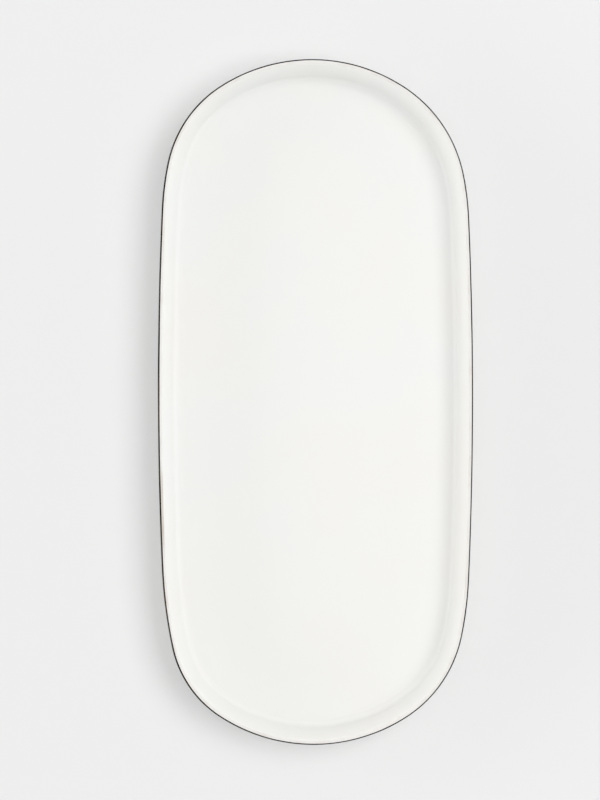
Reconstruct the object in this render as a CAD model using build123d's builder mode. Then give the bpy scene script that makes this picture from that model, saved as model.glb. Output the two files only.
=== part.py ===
"""Oblong china serving platter with a fine metal line round its lip.

The porcelain body is pressed in one piece with its foot ring, then glazed and fired. The glaze
covers everything but the foot, so it lies in two separate coats: the main coat runs from the
well over the lip and down to the foot, and the recess coat lines the underside inside the foot.
The metal line is painted on the main coat at the lip and fired last.

Frame: the origin is on the table, under the middle of the platter. +Z is up, Y runs along the
platter and X across it. All sizes are in millimetres.

Every piece has the same cross-section all the way round, at a depth measured inward from the
outline. The outline is a ring of tangent arcs, so each piece is its section turned about the
centre of each arc in turn, plus a flat plate that fills the middle.
"""

from build123d import *

import os
from dataclasses import dataclass
from math import cos, radians, sin, tan

import numpy as np

# Overall size. The length and width are over the metal line, and the lip's crown sets the height.
LENGTH = 360.0
WIDTH = 165.6
HEIGHT = 24.0

# Outline. The platter is finished by hand, so its four corners are not quite alike.
# Each turn is the angle between the outward normal and the X axis where two arcs meet.
SIDE_TURN = 2.5
SHOULDER_TURN = 12.0
CORNER_TURN = 57.0
CORNER_RADIUS = {"right_top": 72.0, "left_top": 63.0, "left_bottom": 58.0, "right_bottom": 66.0}
SHOULDER_RADIUS = {"right_top": 142.0, "left_top": 150.0, "left_bottom": 258.0, "right_bottom": 188.0}

# Wall and lip. A lean is measured from the vertical.
LIP_THICKNESS = 2.6
LIP_RADIUS = 1.2
OUTER_LEAN = 16.0
INNER_LEAN = 20.0
BELLY_RADIUS = 12.0
COVE_RADIUS = 5.0

# Floor and foot.
FLOOR_TOP = 6.5
RECESS_TOP = 2.4
UNDERSIDE_SLOPE = 12.0
FOOT_OUTER = 15.0
FOOT_TOP = 2.6
FOOT_WIDTH = 4.6
FOOT_DRAFT = 0.6
FOOT_EDGE_RADIUS = 0.8
FOOT_ROOT_RADIUS = 0.9

# Coats on the fired body.
GLAZE = 0.3
BARE_FOOT = 1.1
METAL = 0.1
METAL_TOP_WIDTH = 0.8
METAL_SIDE_DEPTH = 1.3

# The sections stop this far in from the outline, and the plates fill what they leave.
RING_DEPTH = 24.0
RING_OVERRUN = 4.0


@dataclass
class OutlineArc:
    """One arc of the outline, from start to end, both as angles of the outward normal."""

    centre: Vector
    radius: float
    start: float
    end: float

    @property
    def section_plane(self):
        """The upright plane at the arc's start: local X points outward from the outline, Y up."""
        outward = Vector(cos(radians(self.start)), sin(radians(self.start)), 0)
        return Plane(
            origin=self.centre + outward * self.radius,
            x_dir=outward,
            z_dir=outward.cross(Vector(0, 0, 1)),
        )


def end_and_side_radii():
    """The radii of the right, left, top and bottom arcs that make the outline close at its size."""
    side, shoulder, corner = (radians(a) for a in (SIDE_TURN, SHOULDER_TURN, CORNER_TURN))

    def taken(near, far, axis):
        """What one end's or one side's pair of shoulders and corners takes up along an axis."""
        shoulders = SHOULDER_RADIUS[near] + SHOULDER_RADIUS[far]
        corners = CORNER_RADIUS[near] + CORNER_RADIUS[far]
        if axis == "Y":
            return shoulders * (sin(shoulder) - sin(side)) + corners * (sin(corner) - sin(shoulder))
        return shoulders * (cos(side) - cos(shoulder)) + corners * (cos(shoulder) - cos(corner))

    along_side, across_side = 2 * sin(side), 1 - cos(side)
    along_end, across_end = 1 - sin(corner), 2 * cos(corner)
    shares = [
        [along_side, 0, along_end, along_end],
        [0, along_side, along_end, along_end],
        [across_side, across_side, across_end, 0],
        [across_side, across_side, 0, across_end],
    ]
    left_over = [
        LENGTH - taken("right_top", "right_bottom", "Y"),
        LENGTH - taken("left_top", "left_bottom", "Y"),
        WIDTH - taken("right_top", "left_top", "X"),
        WIDTH - taken("right_bottom", "left_bottom", "X"),
    ]
    return np.linalg.solve(shares, left_over)


def outline_arcs():
    """The twelve arcs of the outline, anticlockwise from the right side, round the origin."""
    right, left, top, bottom = end_and_side_radii()
    corner, shoulder = CORNER_RADIUS, SHOULDER_RADIUS
    radii = [
        right, shoulder["right_top"], corner["right_top"],
        top, corner["left_top"], shoulder["left_top"],
        left, shoulder["left_bottom"], corner["left_bottom"],
        bottom, corner["right_bottom"], shoulder["right_bottom"],
    ]
    turns = [-SIDE_TURN, SIDE_TURN, SHOULDER_TURN, CORNER_TURN]
    turns += [180 - a for a in (CORNER_TURN, SHOULDER_TURN, SIDE_TURN)]
    turns += [180 + a for a in (SIDE_TURN, SHOULDER_TURN, CORNER_TURN)]
    turns += [360 - a for a in (CORNER_TURN, SHOULDER_TURN, SIDE_TURN)]

    # The right side's arc is centred so that its outermost point is half the width out.
    centre = Vector(WIDTH / 2 - right, 0, 0)
    arcs = []
    for radius, start, end in zip(radii, turns, turns[1:]):
        if arcs:
            # Two arcs that meet share a normal, so the centre slides along it.
            joint = Vector(cos(radians(start)), sin(radians(start)), 0)
            centre = centre + joint * (arcs[-1].radius - radius)
        arcs.append(OutlineArc(centre, radius, start, end))

    # The middle of the length comes to the origin.
    top_end, bottom_end = arcs[3], arcs[9]
    middle = (top_end.centre.Y + top_end.radius + bottom_end.centre.Y - bottom_end.radius) / 2
    for arc in arcs:
        arc.centre = arc.centre - Vector(0, middle, 0)
    return arcs


ARCS = outline_arcs()


# The section of the whole glazed platter, in local X (0 at the outline, inward is negative) and Z.
# Its foot goes one glaze's thickness below the table, so that the body inside it stands on it.
# The lip's outer corner is placed so that, once rounded, the metal line on it reaches the outline.
outer_lean = tan(radians(OUTER_LEAN))
inner_lean = tan(radians(INNER_LEAN))
under_slope = tan(radians(UNDERSIDE_SLOPE))
lip_outer = LIP_RADIUS * (outer_lean + 1 / cos(radians(OUTER_LEAN)) - 1) - METAL
lip_inner = lip_outer - LIP_THICKNESS
floor_corner = lip_inner - inner_lean * (HEIGHT - FLOOR_TOP)

# The belly is where the leaning outer wall would meet the sloping underside.
wall_at_table = lip_outer - outer_lean * HEIGHT
belly_z = (FOOT_TOP + (wall_at_table + FOOT_OUTER) * under_slope) / (1 - outer_lean * under_slope)
belly_x = wall_at_table + outer_lean * belly_z
foot_inner = -FOOT_OUTER - FOOT_WIDTH
ring_end = -RING_DEPTH - RING_OVERRUN

section_corners = {
    "lip_outer": (lip_outer, HEIGHT),
    "belly": (belly_x, belly_z),
    "foot_outer_root": (-FOOT_OUTER, FOOT_TOP),
    "foot_outer_edge": (-FOOT_OUTER - FOOT_DRAFT, -GLAZE),
    "foot_inner_edge": (foot_inner + FOOT_DRAFT, -GLAZE),
    "foot_inner_root": (foot_inner, RECESS_TOP),
    "recess_end": (ring_end, RECESS_TOP),
    "floor_end": (ring_end, FLOOR_TOP),
    "floor_corner": (floor_corner, FLOOR_TOP),
    "lip_inner": (lip_inner, HEIGHT),
}
section_radii = {
    "lip_outer": LIP_RADIUS,
    "lip_inner": LIP_RADIUS,
    "belly": BELLY_RADIUS,
    "floor_corner": COVE_RADIUS,
    "foot_outer_root": FOOT_ROOT_RADIUS,
    "foot_inner_root": FOOT_ROOT_RADIUS,
    "foot_outer_edge": FOOT_EDGE_RADIUS,
    "foot_inner_edge": FOOT_EDGE_RADIUS,
}

with BuildSketch() as glazed_section:
    with BuildLine():
        Polyline(*section_corners.values(), close=True)
    make_face()
    for corner_name, fillet_radius in section_radii.items():
        corner_point = Vector(*section_corners[corner_name])
        fillet(glazed_section.vertices().sort_by_distance(corner_point)[0], fillet_radius)

# A window keeps the part of a section between the outline and RING_DEPTH.
window_width = RING_DEPTH + LIP_THICKNESS
window_centre = (LIP_THICKNESS - RING_DEPTH) / 2

with BuildSketch() as body_section:
    add(glazed_section.sketch)
    offset(amount=-GLAZE)
    with Locations((window_centre, HEIGHT / 2)):
        Rectangle(window_width, 2 * HEIGHT, mode=Mode.INTERSECT)

with BuildSketch() as both_coats_section:
    add(glazed_section.sketch)
    add(body_section.sketch, mode=Mode.SUBTRACT)
    with Locations((window_centre, BARE_FOOT)):
        Rectangle(window_width, HEIGHT, align=(Align.CENTER, Align.MIN), mode=Mode.INTERSECT)

main_coat_face, recess_coat_face = both_coats_section.faces().sort_by(SortBy.AREA, reverse=True)

with BuildSketch() as metal_section:
    add(glazed_section.sketch)
    offset(amount=METAL)
    add(glazed_section.sketch, mode=Mode.SUBTRACT)
    with Locations((-METAL_TOP_WIDTH, HEIGHT - METAL_SIDE_DEPTH)):
        Rectangle(
            LIP_THICKNESS,
            2 * METAL_SIDE_DEPTH,
            align=(Align.MIN, Align.MIN),
            mode=Mode.INTERSECT,
        )


def turn_round_outline(section_face):
    """Turns a section about the centre of each outline arc, into the part being built."""
    for arc in ARCS:
        with BuildSketch(arc.section_plane) as section:
            add(section_face)
        revolve(section.sketch, axis=Axis(arc.centre, (0, 0, 1)), revolution_arc=arc.end - arc.start)


def fill_middle(bottom, top):
    """Fills the middle that the turned sections leave, between two heights."""
    with BuildSketch(Plane.XY.offset(bottom)) as middle:
        with BuildLine():
            for arc in ARCS:
                CenterArc(arc.centre, arc.radius - RING_DEPTH, arc.start, arc.end - arc.start)
        make_face()
    extrude(middle.sketch, amount=top - bottom)


os.makedirs("parts", exist_ok=True)

with BuildPart() as porcelain_body:
    turn_round_outline(body_section.face())
    fill_middle(RECESS_TOP + GLAZE, FLOOR_TOP - GLAZE)
porcelain_body.part.label = "porcelain_body"
export_step(porcelain_body.part, "parts/porcelain_body.step")

with BuildPart() as main_glaze_coat:
    turn_round_outline(main_coat_face)
    fill_middle(FLOOR_TOP - GLAZE, FLOOR_TOP)
main_glaze_coat.part.label = "main_glaze_coat"
export_step(main_glaze_coat.part, "parts/main_glaze_coat.step")

with BuildPart() as recess_glaze_coat:
    turn_round_outline(recess_coat_face)
    fill_middle(RECESS_TOP, RECESS_TOP + GLAZE)
recess_glaze_coat.part.label = "recess_glaze_coat"
export_step(recess_glaze_coat.part, "parts/recess_glaze_coat.step")

with BuildPart() as rim_metal_line:
    turn_round_outline(metal_section.face())
rim_metal_line.part.label = "rim_metal_line"
export_step(rim_metal_line.part, "parts/rim_metal_line.step")

for piece in (porcelain_body, main_glaze_coat, recess_glaze_coat, rim_metal_line):
    print(piece.part.label, piece.part.bounding_box().size, round(piece.part.volume), "mm3")
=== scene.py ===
"""Looks for the oblong china serving platter: smooth glazed skins, a hand-banded metal line, and a
pale studio seen from straight above.

The CAD model sets every size. Each piece here is its own closed mesh, made from the same outline and
the same section as its CAD node. The section is written in millimetres, inward from the outline and
up from the table, and turns into metres when a mesh is made.
"""

from math import atan2, ceil, cos, degrees, hypot, pi, radians, sin, sqrt, tan

import bmesh
import bpy
import numpy as np
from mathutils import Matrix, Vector, noise


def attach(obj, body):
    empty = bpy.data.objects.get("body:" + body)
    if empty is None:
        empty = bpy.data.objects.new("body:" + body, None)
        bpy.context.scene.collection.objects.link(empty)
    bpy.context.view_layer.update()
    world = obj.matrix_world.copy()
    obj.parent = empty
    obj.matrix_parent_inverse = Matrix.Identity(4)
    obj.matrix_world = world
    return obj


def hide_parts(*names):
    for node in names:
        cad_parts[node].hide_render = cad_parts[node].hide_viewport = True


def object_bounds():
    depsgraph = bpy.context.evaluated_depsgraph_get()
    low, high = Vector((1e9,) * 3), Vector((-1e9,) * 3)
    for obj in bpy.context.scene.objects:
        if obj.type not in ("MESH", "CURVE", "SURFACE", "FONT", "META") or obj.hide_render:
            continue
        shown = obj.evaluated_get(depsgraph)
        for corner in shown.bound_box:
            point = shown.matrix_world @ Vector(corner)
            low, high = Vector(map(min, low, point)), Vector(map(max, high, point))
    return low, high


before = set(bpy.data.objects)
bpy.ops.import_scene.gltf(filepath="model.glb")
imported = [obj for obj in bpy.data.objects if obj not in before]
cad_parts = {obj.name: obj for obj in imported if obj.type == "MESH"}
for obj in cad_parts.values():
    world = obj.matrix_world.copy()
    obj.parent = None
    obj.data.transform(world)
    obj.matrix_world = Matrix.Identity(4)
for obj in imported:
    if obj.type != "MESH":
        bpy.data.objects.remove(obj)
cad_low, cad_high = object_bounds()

MM = 0.001

# Overall size, from the CAD model.
LENGTH = (cad_high.y - cad_low.y) / MM
WIDTH = (cad_high.x - cad_low.x) / MM
HEIGHT = (cad_high.z - cad_low.z) / MM

# Outline: where its arcs meet, as angles between the outward normal and X, and their radii.
SIDE_TURN, SHOULDER_TURN, CORNER_TURN = 2.5, 12.0, 57.0
CORNER_RADIUS = {"right_top": 72.0, "left_top": 63.0, "left_bottom": 58.0, "right_bottom": 66.0}
SHOULDER_RADIUS = {"right_top": 142.0, "left_top": 150.0, "left_bottom": 258.0, "right_bottom": 188.0}

# Section, as in the CAD model.
LIP_THICKNESS = 2.6
LIP_RADIUS = 1.2
OUTER_LEAN = 16.0
INNER_LEAN = 20.0
BELLY_RADIUS = 12.0
COVE_RADIUS = 5.0
FLOOR_TOP = 6.5
RECESS_TOP = 2.4
UNDERSIDE_SLOPE = 12.0
FOOT_OUTER = 15.0
FOOT_TOP = 2.6
FOOT_WIDTH = 4.6
FOOT_DRAFT = 0.6
FOOT_EDGE_RADIUS = 0.8
FOOT_ROOT_RADIUS = 0.9
GLAZE = 0.3
BARE_FOOT = 1.1
METAL_ROOM = 0.1

# The fired metal line: a film thinner than the CAD model's, sunk a little into the glaze. Its edges
# wander by METAL_PLAY, and along the left side it is broader.
METAL_TOP_WIDTH = 0.76
METAL_SIDE_DEPTH = 1.15
METAL_FILM = 0.04
METAL_SUNK = 0.02
METAL_PLAY = 0.09
METAL_BROADER = 0.26

# The glaze stops in a rolled edge, on a slightly wandering line where it was wiped off the foot.
GLAZE_EDGE = 0.5
WIPE_PLAY = 0.2

# Handwork: how far, and over what length, the glaze ripples and the painted edges wander.
SLOW_RIPPLE, SLOW_RIPPLE_LENGTH = 0.05, 26.0
FAST_RIPPLE, FAST_RIPPLE_LENGTH = 0.008, 9.0
FLOOR_TRUENESS, FLOOR_SHARPNESS = 0.8, 8
BROAD_WANDER, FINE_WANDER = 31.0, 9.0

# Colours, as linear red, green and blue.
COOL_WHITE = (0.815, 0.822, 0.804)
WARM_WHITE = (0.819, 0.813, 0.785)
# Painted shade: the lip's top is blended towards this greyer white.
LIP_SHADE_WHITE = (0.72, 0.70, 0.675)
STAIN_TAN = (0.45, 0.38, 0.30)
PIT_COLOUR = (0.54, 0.50, 0.45)
BISQUE_DARK = (0.72, 0.69, 0.64)
BISQUE_LIGHT = (0.78, 0.765, 0.72)
RUBBED_GREY = (0.42, 0.405, 0.38)
METAL_DARK = (0.016, 0.016, 0.015)
METAL_LIGHT = (0.054, 0.051, 0.047)
METAL_BROWN = (0.076, 0.054, 0.034)
METAL_GRAZING = (0.09, 0.09, 0.08)
PAPER = (0.766, 0.766, 0.766)

# Marks in the glaze, in metres. A painted warm reflection starts and is warmest at these places
# along Y. Painted shade darkens the lip's top, and the crown is stained, between these heights. The
# stain fades between these distances from its place, and a pit between these shares of the pits' spacing.
CLOUD_SIZE, BREATH_SIZE, POLISH_SIZE = 0.07, 0.012, 0.02
WARM_REFLECTION_START, WARM_REFLECTION_FULL = -0.02, -0.11
LIP_SHADE_START, LIP_SHADE_FULL = (HEIGHT - 1.2) * MM, (HEIGHT - 0.2) * MM
CROWN_START, CROWN_FULL = (HEIGHT - 0.45) * MM, (HEIGHT - 0.2) * MM
STAIN_PLACE = (-0.081, -0.057, HEIGHT * MM)
STAIN_REACH, STAIN_CORE = 0.027, 0.012
PIT_SPACING = 0.018
PIT_CORE, PIT_REACH = 0.010, 0.022
PIT_DEPTH = 0.00005
SWELL_SIZE, SWELL_DEPTH = 0.011, 0.00004
PEEL_SIZE, PEEL_DEPTH = 0.0018, 0.0000022
GLAZE_IOR = 1.52

# The grain, patches and rubbed foot of the bare porcelain, and the metal's brushing, in metres.
GRAIN_SIZE, GRAIN_DEPTH = 0.0006, 0.00003
RUB_SIZE, RUB_HEIGHT = 0.012, 0.0004
DENSITY_SIZE, BROWN_SIZE = 0.014, 0.034
STREAK_SIZE, STREAK_DEPTH = 0.0009, 0.000006
PAPER_GRAIN_SIZE = 0.0015

# Studio. White walls glow all round, most at the horizon. A lamp lights without showing in the
# gloss, and a card only shows in the gloss, as a white panel nearby would.
HORIZON_GLOW, ZENITH_GLOW, HORIZON_FALL = 2.0, 0.835, 3.0
LIGHT_DISTANCE = 3.0
LIGHTS = [
    # name, azimuth, elevation, width and height as angles, radiance, role
    ("key_lamp", 12, 59.5, 44, 31, 3.20, "lamp"),
    ("left_lamp", 180, 11, 60, 18, 2.75, "lamp"),
    ("right_card", 0, 12, 100, 24, 0.45, "card"),
    ("far_card", 105, 38, 90, 32, 0.85, "card"),
    ("left_card", 177.5, 12, 50, 20, 1.20, "card"),
]
FLOOR_REACH = 4.0
SENSOR = 36.0
VIEW_LENGTH = 0.4195
VIEW_DISTANCE = 1.5
VIEW_CENTRE = (-0.0081, 0.00104)

# Mesh steps: along the outline, along straight and round parts of the section (the arc's in
# degrees), across the metal line, and over the last stretch before a glaze edge. A flat fill starts
# this deep inside the outline.
OUTLINE_STEP = 2.2
LINE_STEP = 2.5
ARC_STEP = 5.0
METAL_STEPS = 14
EDGE_ZONE, EDGE_STEPS = 1.0, 7
FILL_DEPTH = 52.0


# --- Outline ---------------------------------------------------------------------------------------


def end_and_side_radii():
    """The radii of the right, left, top and bottom arcs that close the outline at its size."""
    side, shoulder, corner = (radians(a) for a in (SIDE_TURN, SHOULDER_TURN, CORNER_TURN))

    def taken(near, far, axis):
        """What a pair of shoulders and corners takes up along an axis."""
        shoulders = SHOULDER_RADIUS[near] + SHOULDER_RADIUS[far]
        corners = CORNER_RADIUS[near] + CORNER_RADIUS[far]
        if axis == "Y":
            return shoulders * (sin(shoulder) - sin(side)) + corners * (sin(corner) - sin(shoulder))
        return shoulders * (cos(side) - cos(shoulder)) + corners * (cos(shoulder) - cos(corner))

    along_side, across_side = 2 * sin(side), 1 - cos(side)
    along_end, across_end = 1 - sin(corner), 2 * cos(corner)
    shares = [
        [along_side, 0, along_end, along_end],
        [0, along_side, along_end, along_end],
        [across_side, across_side, across_end, 0],
        [across_side, across_side, 0, across_end],
    ]
    left_over = [
        LENGTH - taken("right_top", "right_bottom", "Y"),
        LENGTH - taken("left_top", "left_bottom", "Y"),
        WIDTH - taken("right_top", "left_top", "X"),
        WIDTH - taken("right_bottom", "left_bottom", "X"),
    ]
    return np.linalg.solve(shares, left_over)


def outline_arcs():
    """(centre x, centre y, radius, start, end) of the twelve arcs, anticlockwise from the right side."""
    right, left, top, bottom = end_and_side_radii()
    corner, shoulder = CORNER_RADIUS, SHOULDER_RADIUS
    radii = [
        right, shoulder["right_top"], corner["right_top"],
        top, corner["left_top"], shoulder["left_top"],
        left, shoulder["left_bottom"], corner["left_bottom"],
        bottom, corner["right_bottom"], shoulder["right_bottom"],
    ]
    turns = [-SIDE_TURN, SIDE_TURN, SHOULDER_TURN, CORNER_TURN]
    turns += [180 - a for a in (CORNER_TURN, SHOULDER_TURN, SIDE_TURN)]
    turns += [180 + a for a in (SIDE_TURN, SHOULDER_TURN, CORNER_TURN)]
    turns += [360 - a for a in (CORNER_TURN, SHOULDER_TURN, SIDE_TURN)]
    x, y, last_radius = WIDTH / 2 - right, 0.0, right
    arcs = []
    for radius, start, end in zip(radii, turns, turns[1:]):
        x += cos(radians(start)) * (last_radius - radius)
        y += sin(radians(start)) * (last_radius - radius)
        last_radius = radius
        arcs.append((x, y, radius, start, end))
    top_end, bottom_end = arcs[3], arcs[9]
    middle = (top_end[1] + top_end[2] + bottom_end[1] - bottom_end[2]) / 2
    return [(x, y - middle, radius, start, end) for x, y, radius, start, end in arcs]


def outline_stations():
    """Rows of outline x, y and outward normal x, y, evenly spaced along each arc."""
    rows = []
    for x, y, radius, start, end in outline_arcs():
        count = ceil(radians(end - start) * radius / OUTLINE_STEP)
        for angle in np.linspace(radians(start), radians(end), count, endpoint=False):
            rows.append((x + radius * cos(angle), y + radius * sin(angle), cos(angle), sin(angle)))
    return np.array(rows)


# --- Section ---------------------------------------------------------------------------------------


def section_corners():
    """The section's corners from the well's floor, over the lip and the foot, to the recess."""
    lip_top = HEIGHT - METAL_ROOM
    outer_lean = tan(radians(OUTER_LEAN))
    inner_lean = tan(radians(INNER_LEAN))
    under_slope = tan(radians(UNDERSIDE_SLOPE))
    lip_outer = LIP_RADIUS * (outer_lean + 1 / cos(radians(OUTER_LEAN)) - 1) - METAL_ROOM
    lip_inner = lip_outer - LIP_THICKNESS
    wall_at_table = lip_outer - outer_lean * lip_top
    belly_z = (FOOT_TOP + (wall_at_table + FOOT_OUTER) * under_slope) / (1 - outer_lean * under_slope)
    foot_inner = -FOOT_OUTER - FOOT_WIDTH
    return [
        (-FILL_DEPTH, FLOOR_TOP, 0),
        (lip_inner - inner_lean * (lip_top - FLOOR_TOP), FLOOR_TOP, COVE_RADIUS),
        (lip_inner, lip_top, LIP_RADIUS),
        (lip_outer, lip_top, LIP_RADIUS),
        (wall_at_table + outer_lean * belly_z, belly_z, BELLY_RADIUS),
        (-FOOT_OUTER, FOOT_TOP, FOOT_ROOT_RADIUS),
        (-FOOT_OUTER - FOOT_DRAFT, -GLAZE, FOOT_EDGE_RADIUS),
        (foot_inner + FOOT_DRAFT, -GLAZE, FOOT_EDGE_RADIUS),
        (foot_inner, RECESS_TOP, FOOT_ROOT_RADIUS),
        (-FILL_DEPTH, RECESS_TOP, 0),
    ]


def rounded(corners):
    """Samples a line with rounded corners, as rows of x, z and outward normal x, z."""
    rows = []

    def straight(start, end, normal):
        count = max(1, ceil(hypot(*(end - start)) / LINE_STEP))
        for share in np.linspace(0, 1, count, endpoint=False):
            rows.append((*(start + (end - start) * share), *normal))

    points = [np.array(c[:2]) for c in corners]
    at = points[0]
    for i, (_, _, radius) in enumerate(corners[1:-1], 1):
        into = (points[i] - points[i - 1]) / hypot(*(points[i] - points[i - 1]))
        out = (points[i + 1] - points[i]) / hypot(*(points[i + 1] - points[i]))
        turn = atan2(into[0] * out[1] - into[1] * out[0], into @ out)
        tangent = radius * tan(abs(turn) / 2)
        normal = np.array([-into[1], into[0]])
        arc_start = points[i] - into * tangent
        centre = arc_start + normal * radius * np.sign(turn)
        straight(at, arc_start, normal)
        count = ceil(degrees(abs(turn)) / ARC_STEP)
        facing = atan2(normal[1], normal[0])
        for angle in np.linspace(facing, facing + turn, count, endpoint=False):
            normal = np.array([cos(angle), sin(angle)])
            rows.append((*(centre - normal * radius * np.sign(turn)), *normal))
        at = points[i] + out * tangent
    normal = (-out[1], out[0])
    straight(at, points[-1], normal)
    rows.append((*points[-1], *normal))
    return np.array(rows)


STATIONS = outline_stations()
SECTION = rounded(section_corners())
LENGTHS = np.concatenate([[0], np.cumsum(np.hypot(*np.diff(SECTION[:, :2], axis=0).T))])


def section_at(length):
    """The section's x, z and outward normal at a length along it from the middle of the well."""
    x, z, nx, nz = (np.interp(length, LENGTHS, column) for column in SECTION.T)
    return x, z, nx / hypot(nx, nz), nz / hypot(nx, nz)


def where(column, value, after=0.0):
    """The first length past another at which the section's x (column 0) or z (1) crosses a value."""
    for i, (before, this) in enumerate(zip(SECTION[:, column], SECTION[1:, column])):
        if LENGTHS[i] >= after and (before - value) * (this - value) <= 0 and before != this:
            return LENGTHS[i] + (LENGTHS[i + 1] - LENGTHS[i]) * (before - value) / (before - this)
    raise ValueError(f"the section doesn't cross {value} past {after}")


METAL_START = where(0, -METAL_TOP_WIDTH)
METAL_END = where(1, HEIGHT - METAL_ROOM - METAL_SIDE_DEPTH, after=METAL_START)
OUTER_WIPE = where(1, BARE_FOOT, after=METAL_END)
INNER_WIPE = where(1, BARE_FOOT, after=OUTER_WIPE + FOOT_WIDTH / 2)


# --- Meshes ----------------------------------------------------------------------------------------


def wander(station, seed):
    """A slow random wander round the outline, between about -1 and 1."""
    x, y = STATIONS[station, :2]
    broad = noise.noise(Vector((x, y, 0)) / BROAD_WANDER + Vector((0, 0, seed)))
    return broad + noise.noise(Vector((x, y, 0)) / FINE_WANDER + Vector((0, 0, seed))) / 2


def in_space(station, x, z):
    """A section point at one place round the outline, in metres."""
    ox, oy, nx, ny = STATIONS[station]
    return Vector((ox + nx * x, oy + ny * x, z)) * MM


def ripple(station, x, z, nz):
    """How far the glaze stands off its true shape, in millimetres. The flat floor is the truest."""
    point = in_space(station, x, z) / MM
    trueness = 1 - FLOOR_TRUENESS * max(0.0, nz) ** FLOOR_SHARPNESS
    slow = noise.noise(point / SLOW_RIPPLE_LENGTH) * SLOW_RIPPLE
    return trueness * (slow + noise.noise(point / FAST_RIPPLE_LENGTH) * FAST_RIPPLE)


def glazed_point(station, length, height, rippled=1.0):
    """A point at a height over the rippled glaze, at a length along the section."""
    x, z, nx, nz = section_at(length)
    height += ripple(station, x, z, nz) * rippled
    return x + nx * height, z + nz * height


def fired_point(length):
    """A point on the fired body, under the glaze."""
    x, z, nx, nz = section_at(length)
    return x - nx * GLAZE, z - nz * GLAZE


def turned(name, loops, tube):
    """A closed mesh from one loop of section points for each station round the outline.

    A tube's loops close on themselves. The loops of any other piece start and end in the middle of
    the platter, where a flat fill closes each side.
    """
    mesh = bmesh.new()
    rings = [[mesh.verts.new(in_space(i, x, z)) for x, z in loop] for i, loop in enumerate(loops)]
    followers = rings[1:] + rings[:1]
    for this, following in zip(rings, followers):
        for k in range(len(this) if tube else len(this) - 1):
            after = (k + 1) % len(this)
            mesh.faces.new((this[k], following[k], following[after], this[after]))
    if not tube:
        for k in (0, -1):
            rim = [mesh.edges.get((a[k], b[k])) for a, b in zip(rings, followers)]
            bmesh.ops.triangle_fill(mesh, use_beauty=True, edges=rim)
    bmesh.ops.recalc_face_normals(mesh, faces=mesh.faces)
    for face in mesh.faces:
        face.smooth = True
    data = bpy.data.meshes.new(name)
    mesh.to_mesh(data)
    mesh.free()
    piece = bpy.data.objects.new(name, data)
    bpy.context.scene.collection.objects.link(piece)
    return piece


def body_piece():
    """The fired body, one glaze's thickness inside the section all round."""
    loop = [fired_point(length) for length in LENGTHS]
    return turned("fired_body", [loop] * len(STATIONS), tube=False)


def coat_piece(name, wipe, direction, seed):
    """A glaze coat from the middle of one side of the platter to its rolled edge on the foot."""
    steady = [s for s in LENGTHS[::direction] if (wipe - s) * direction > EDGE_ZONE + LINE_STEP / 10]
    edge_start = wipe - direction * EDGE_ZONE
    loops = []
    for station in range(len(STATIONS)):
        edge = wipe + WIPE_PLAY * wander(station, seed)
        near_edge = edge_start + (edge - edge_start) * (1 - np.linspace(1, 0, EDGE_STEPS) ** 2)
        outer = []
        for length in [*steady, *near_edge]:
            share = max(0.0, 1 - abs(edge - length) / GLAZE_EDGE)
            depth = GLAZE * (1 - sqrt(1 - share**2))
            outer.append(glazed_point(station, length, -depth, rippled=1 - share))
        inner = [fired_point(length) for length in [*near_edge[-2::-1], *reversed(steady)]]
        loops.append(outer + inner)
    return turned(name, loops, tube=False)


def metal_piece():
    """The banded metal line over the lip, thickest along its middle, with hand-drawn edges."""
    loops = []
    for station in range(len(STATIONS)):
        broader = METAL_BROADER * max(0.0, -STATIONS[station, 2])
        start = METAL_START - broader + METAL_PLAY * wander(station, seed=3)
        end = METAL_END + METAL_PLAY * wander(station, seed=7)
        shares = np.linspace(0, 1, METAL_STEPS)
        lengths = start + (end - start) * shares
        films = METAL_FILM * np.sqrt(1 - (2 * shares - 1) ** 4)
        over = [glazed_point(station, s, film) for s, film in zip(lengths, films)]
        under = [glazed_point(station, s, -METAL_SUNK) for s in reversed(lengths)]
        loops.append(over + under)
    return turned("banded_line", loops, tube=True)


# --- Materials -------------------------------------------------------------------------------------


def fill_socket(tree, socket, value):
    """Links a socket to the one that feeds it, or sets its value. An (r, g, b) gets its alpha."""
    if isinstance(value, bpy.types.NodeSocket):
        tree.links.new(value, socket)
    elif socket.type == "RGBA":
        socket.default_value = (*value, 1)
    else:
        socket.default_value = value


def math_node(tree, operation, *values):
    """The result of a Math node on values that are each a number or a socket."""
    node = tree.nodes.new("ShaderNodeMath")
    node.operation = operation
    for socket, value in zip(node.inputs, values):
        fill_socket(tree, socket, value)
    return node.outputs[0]


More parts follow.
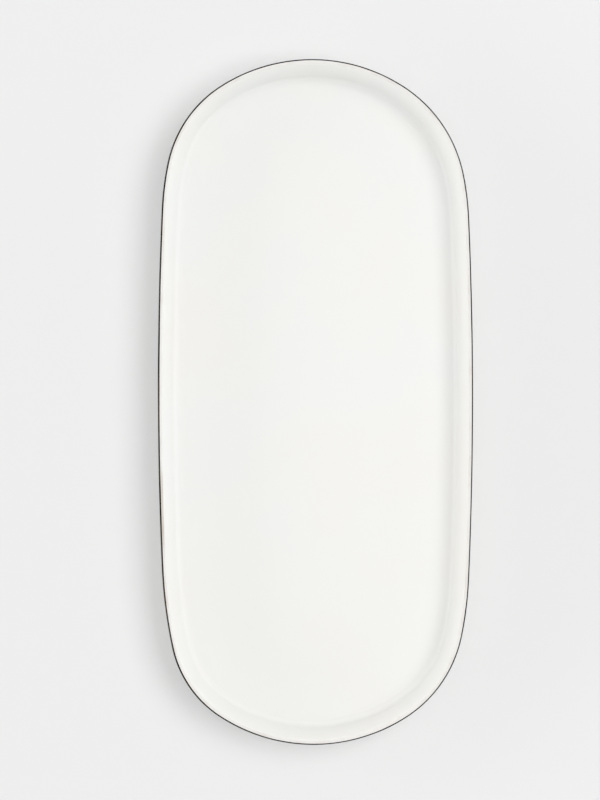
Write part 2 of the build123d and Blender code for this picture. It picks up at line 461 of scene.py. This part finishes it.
class Nodes:
    """A new material's node tree, with short calls to add and link its nodes."""

    def __init__(self, name):
        self.material = bpy.data.materials.new(name)
        self.material.use_nodes = True
        self.tree = self.material.node_tree
        self.shader = self.tree.nodes["Principled BSDF"]
        self.place = self.tree.nodes.new("ShaderNodeTexCoord").outputs["Object"]

    def add(self, kind, **inputs):
        """A new node. Each input is a value, or the socket that feeds it."""
        node = self.tree.nodes.new(kind)
        for name, value in inputs.items():
            fill_socket(self.tree, node.inputs[name], value)
        return node

    def shade(self, name, value):
        """Sets or links one input of the shader."""
        fill_socket(self.tree, self.shader.inputs[name], value)

    def noise(self, length, detail=2.0, roughness=0.5):
        """Noise whose features are about one length across, in metres."""
        settings = {"Scale": 1 / length, "Detail": detail, "Roughness": roughness}
        return self.add("ShaderNodeTexNoise", Vector=self.place, **settings).outputs["Fac"]

    def along(self, axis):
        """The place along one axis, in metres."""
        return self.add("ShaderNodeSeparateXYZ", Vector=self.place).outputs[axis]

    def distance(self, point):
        """The distance from a point, in metres."""
        node = self.tree.nodes.new("ShaderNodeVectorMath")
        node.operation = "DISTANCE"
        for socket, value in zip(node.inputs, (self.place, point)):
            fill_socket(self.tree, socket, value)
        return node.outputs["Value"]

    def spread(self, value, low, high, to_low=0.0, to_high=1.0, smooth=False):
        """Maps a value's range onto another, and clamps it there."""
        ranges = {"From Min": low, "From Max": high, "To Min": to_low, "To Max": to_high}
        node = self.add("ShaderNodeMapRange", Value=value, **ranges)
        node.interpolation_type = "SMOOTHSTEP" if smooth else "LINEAR"
        return node.outputs["Result"]

    def blend(self, share, under, over):
        """Mixes two colours, each a socket or an (r, g, b)."""
        node = self.tree.nodes.new("ShaderNodeMix")
        node.data_type = "RGBA"
        # A Mix node has one set of inputs for each kind of data: 6 and 7 are its two colours.
        for number, value in ((0, share), (6, under), (7, over)):
            fill_socket(self.tree, node.inputs[number], value)
        return node.outputs[2]

    def math(self, operation, *values):
        """The result of a Math node in this tree."""
        return math_node(self.tree, operation, *values)

    def bump(self, height, distance, under=None):
        """A bump of that height in metres, on top of an earlier one."""
        earlier = {} if under is None else {"Normal": under}
        return self.add("ShaderNodeBump", Height=height, Distance=distance, **earlier).outputs["Normal"]


def glaze_material():
    """Clear gloss over warm white, with clouding, pinholes, orange peel, a stained crown, painted shade
    on the lip's top and a painted warm reflection towards one end.
    """
    n = Nodes("white_glaze")
    clouds = n.spread(n.noise(CLOUD_SIZE), 0.35, 0.65, smooth=True)
    colour = n.blend(clouds, COOL_WHITE, WARM_WHITE)

    # A painted warm reflection: the glaze's colour turns warmer towards the -Y end.
    warm_reflection = n.spread(n.along("Y"), WARM_REFLECTION_START, WARM_REFLECTION_FULL, 0, 0.6, smooth=True)
    colour = n.blend(warm_reflection, colour, WARM_WHITE)
    height = n.along("Z")
    # Painted shade darkens the lip's top, so that it reads no brighter than the well.
    lip_shade = n.spread(height, LIP_SHADE_START, LIP_SHADE_FULL, 0, 0.7, smooth=True)
    colour = n.blend(lip_shade, colour, LIP_SHADE_WHITE)

    # A breath of metal tints the crown of the lip, most where the brush was lifted.
    crown = n.spread(height, CROWN_START, CROWN_FULL, smooth=True)
    lifted = n.spread(n.distance(STAIN_PLACE), STAIN_REACH, STAIN_CORE, 0, 0.5, smooth=True)
    breath = n.spread(n.noise(BREATH_SIZE, detail=3.0), 0.45, 0.7, 0, 0.2, smooth=True)
    colour = n.blend(n.math("MULTIPLY", crown, n.math("ADD", lifted, breath)), colour, STAIN_TAN)

    pits = n.add("ShaderNodeTexVoronoi", Vector=n.place, Scale=1 / PIT_SPACING, Randomness=1.0)
    near_pit = n.spread(pits.outputs["Distance"], PIT_CORE, PIT_REACH, 1, 0, smooth=True)
    n.shade("Base Color", n.blend(n.math("MULTIPLY", near_pit, 0.25), colour, PIT_COLOUR))

    n.shade("Roughness", n.spread(n.noise(POLISH_SIZE), 0.3, 0.7, 0.02, 0.05))
    n.shade("IOR", GLAZE_IOR)
    swell = n.bump(n.noise(SWELL_SIZE, detail=1.0), SWELL_DEPTH)
    peel = n.bump(n.noise(PEEL_SIZE, detail=1.0), PEEL_DEPTH, under=swell)
    n.shade("Normal", n.bump(n.math("SUBTRACT", 1.0, near_pit), PIT_DEPTH, under=peel))
    return n.material


def bare_porcelain_material():
    """Fired porcelain without glaze: dry, fine-grained and rubbed a little grey where it stands."""
    n = Nodes("bare_porcelain")
    grain = n.noise(GRAIN_SIZE, detail=4.0)
    colour = n.blend(n.spread(grain, 0.35, 0.65), BISQUE_DARK, BISQUE_LIGHT)
    patchy = n.spread(n.noise(RUB_SIZE, detail=4.0, roughness=0.7), 0.4, 0.62, smooth=True)
    standing = n.spread(n.along("Z"), 0.0, RUB_HEIGHT, 0.55, 0.0)
    n.shade("Base Color", n.blend(n.math("MULTIPLY", patchy, standing), colour, RUBBED_GREY))
    n.shade("Roughness", n.spread(grain, 0.3, 0.7, 0.5, 0.7))
    n.shade("Normal", n.bump(grain, GRAIN_DEPTH))
    return n.material


def metal_material():
    """A dark fired platinum film, denser and browner in turn along the brushed line."""
    n = Nodes("platinum_lustre")
    density = n.spread(n.noise(DENSITY_SIZE, detail=3.0), 0.36, 0.64, smooth=True)
    colour = n.blend(density, METAL_DARK, METAL_LIGHT)
    browner = n.spread(n.noise(BROWN_SIZE), 0.54, 0.66, 0, 0.6, smooth=True)
    n.shade("Base Color", n.blend(browner, colour, METAL_BROWN))
    n.shade("Metallic", 1.0)
    n.shade("Specular Tint", METAL_GRAZING)
    streaks = n.noise(STREAK_SIZE, detail=3.0)
    n.shade("Roughness", n.spread(streaks, 0.3, 0.7, 0.16, 0.3))
    n.shade("Normal", n.bump(streaks, STREAK_DEPTH))
    return n.material


def floor_material():
    """Plain pale paper, with the faintest mottling."""
    n = Nodes("pale_paper")
    low, high = (tuple(channel * share for channel in PAPER) for share in (0.997, 1.003))
    n.shade("Base Color", n.blend(n.spread(n.noise(PAPER_GRAIN_SIZE, detail=3.0), 0.3, 0.7), low, high))
    n.shade("Roughness", 0.9)
    n.shade("Specular IOR Level", 0.2)
    return n.material


# --- Pieces ----------------------------------------------------------------------------------------


def place(piece, node, material):
    """The piece stands for its CAD node, rides on the one body and wears its material."""
    piece.data.materials.append(material)
    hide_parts(node)
    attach(piece, "root")


glaze = glaze_material()
main_coat = coat_piece("main_coat", OUTER_WIPE, direction=1, seed=11)
recess_coat = coat_piece("recess_coat", INNER_WIPE, direction=-1, seed=17)
place(main_coat, "main_glaze_coat", glaze)
place(recess_coat, "recess_glaze_coat", glaze)
place(body_piece(), "porcelain_body", bare_porcelain_material())
place(metal_piece(), "rim_metal_line", metal_material())


# --- Studio ----------------------------------------------------------------------------------------


def add_floor():
    """A wide paper floor under the platter."""
    data = bpy.data.meshes.new("paper_floor")
    corners = [(x * FLOOR_REACH, y * FLOOR_REACH, 0) for x, y in ((-1, -1), (1, -1), (1, 1), (-1, 1))]
    data.from_pydata(corners, [], [(0, 1, 2, 3)])
    data.materials.append(floor_material())
    floor = bpy.data.objects.new("paper_floor", data)
    bpy.context.scene.collection.objects.link(floor)


def add_light(name, azimuth, elevation, width, height, radiance, role):
    """A soft panel that faces the platter. Azimuth turns anticlockwise from +X."""
    a, e = radians(azimuth), radians(elevation)
    towards = Vector((cos(a) * cos(e), sin(a) * cos(e), sin(e)))
    light = bpy.data.lights.new(name, "AREA")
    light.shape = "RECTANGLE"
    light.size, light.size_y = (2 * LIGHT_DISTANCE * tan(radians(angle) / 2) for angle in (width, height))
    light.energy = radiance * light.size * light.size_y * pi
    panel = bpy.data.objects.new(name, light)
    panel.location = towards * LIGHT_DISTANCE
    panel.rotation_mode = "QUATERNION"
    panel.rotation_quaternion = towards.to_track_quat("Z", "Y")
    panel.visible_camera = False
    panel.visible_glossy = role == "card"
    panel.visible_diffuse = role == "lamp"
    bpy.context.scene.collection.objects.link(panel)


def add_world():
    """A white glow from all round that falls off from the horizon to overhead and underfoot."""
    world = bpy.data.worlds.new("studio")
    world.use_nodes = True
    tree = world.node_tree
    direction = tree.nodes.new("ShaderNodeSeparateXYZ")
    tree.links.new(tree.nodes.new("ShaderNodeTexCoord").outputs["Generated"], direction.inputs[0])
    height = math_node(tree, "ABSOLUTE", direction.outputs["Z"])
    low_glow = math_node(tree, "POWER", math_node(tree, "SUBTRACT", 1.0, height), HORIZON_FALL)
    high_glow = math_node(tree, "MULTIPLY", height, ZENITH_GLOW)
    background = tree.nodes["Background"]
    background.inputs["Color"].default_value = (1, 1, 1, 1)
    glow = math_node(tree, "MULTIPLY_ADD", low_glow, HORIZON_GLOW, high_glow)
    tree.links.new(glow, background.inputs["Strength"])
    bpy.context.scene.world = world


def add_camera():
    """Straight above the platter. The picture's longer side spans VIEW_LENGTH at the lip's height."""
    data = bpy.data.cameras.new("overhead_camera")
    data.sensor_width = SENSOR
    data.lens = SENSOR * VIEW_DISTANCE / VIEW_LENGTH
    camera = bpy.data.objects.new("overhead_camera", data)
    camera.location = (*VIEW_CENTRE, cad_high.z + VIEW_DISTANCE)
    bpy.context.scene.collection.objects.link(camera)
    bpy.context.scene.camera = camera


add_floor()
add_camera()
for light in LIGHTS:
    add_light(*light)
add_world()
bpy.context.scene.view_settings.view_transform = "Standard"
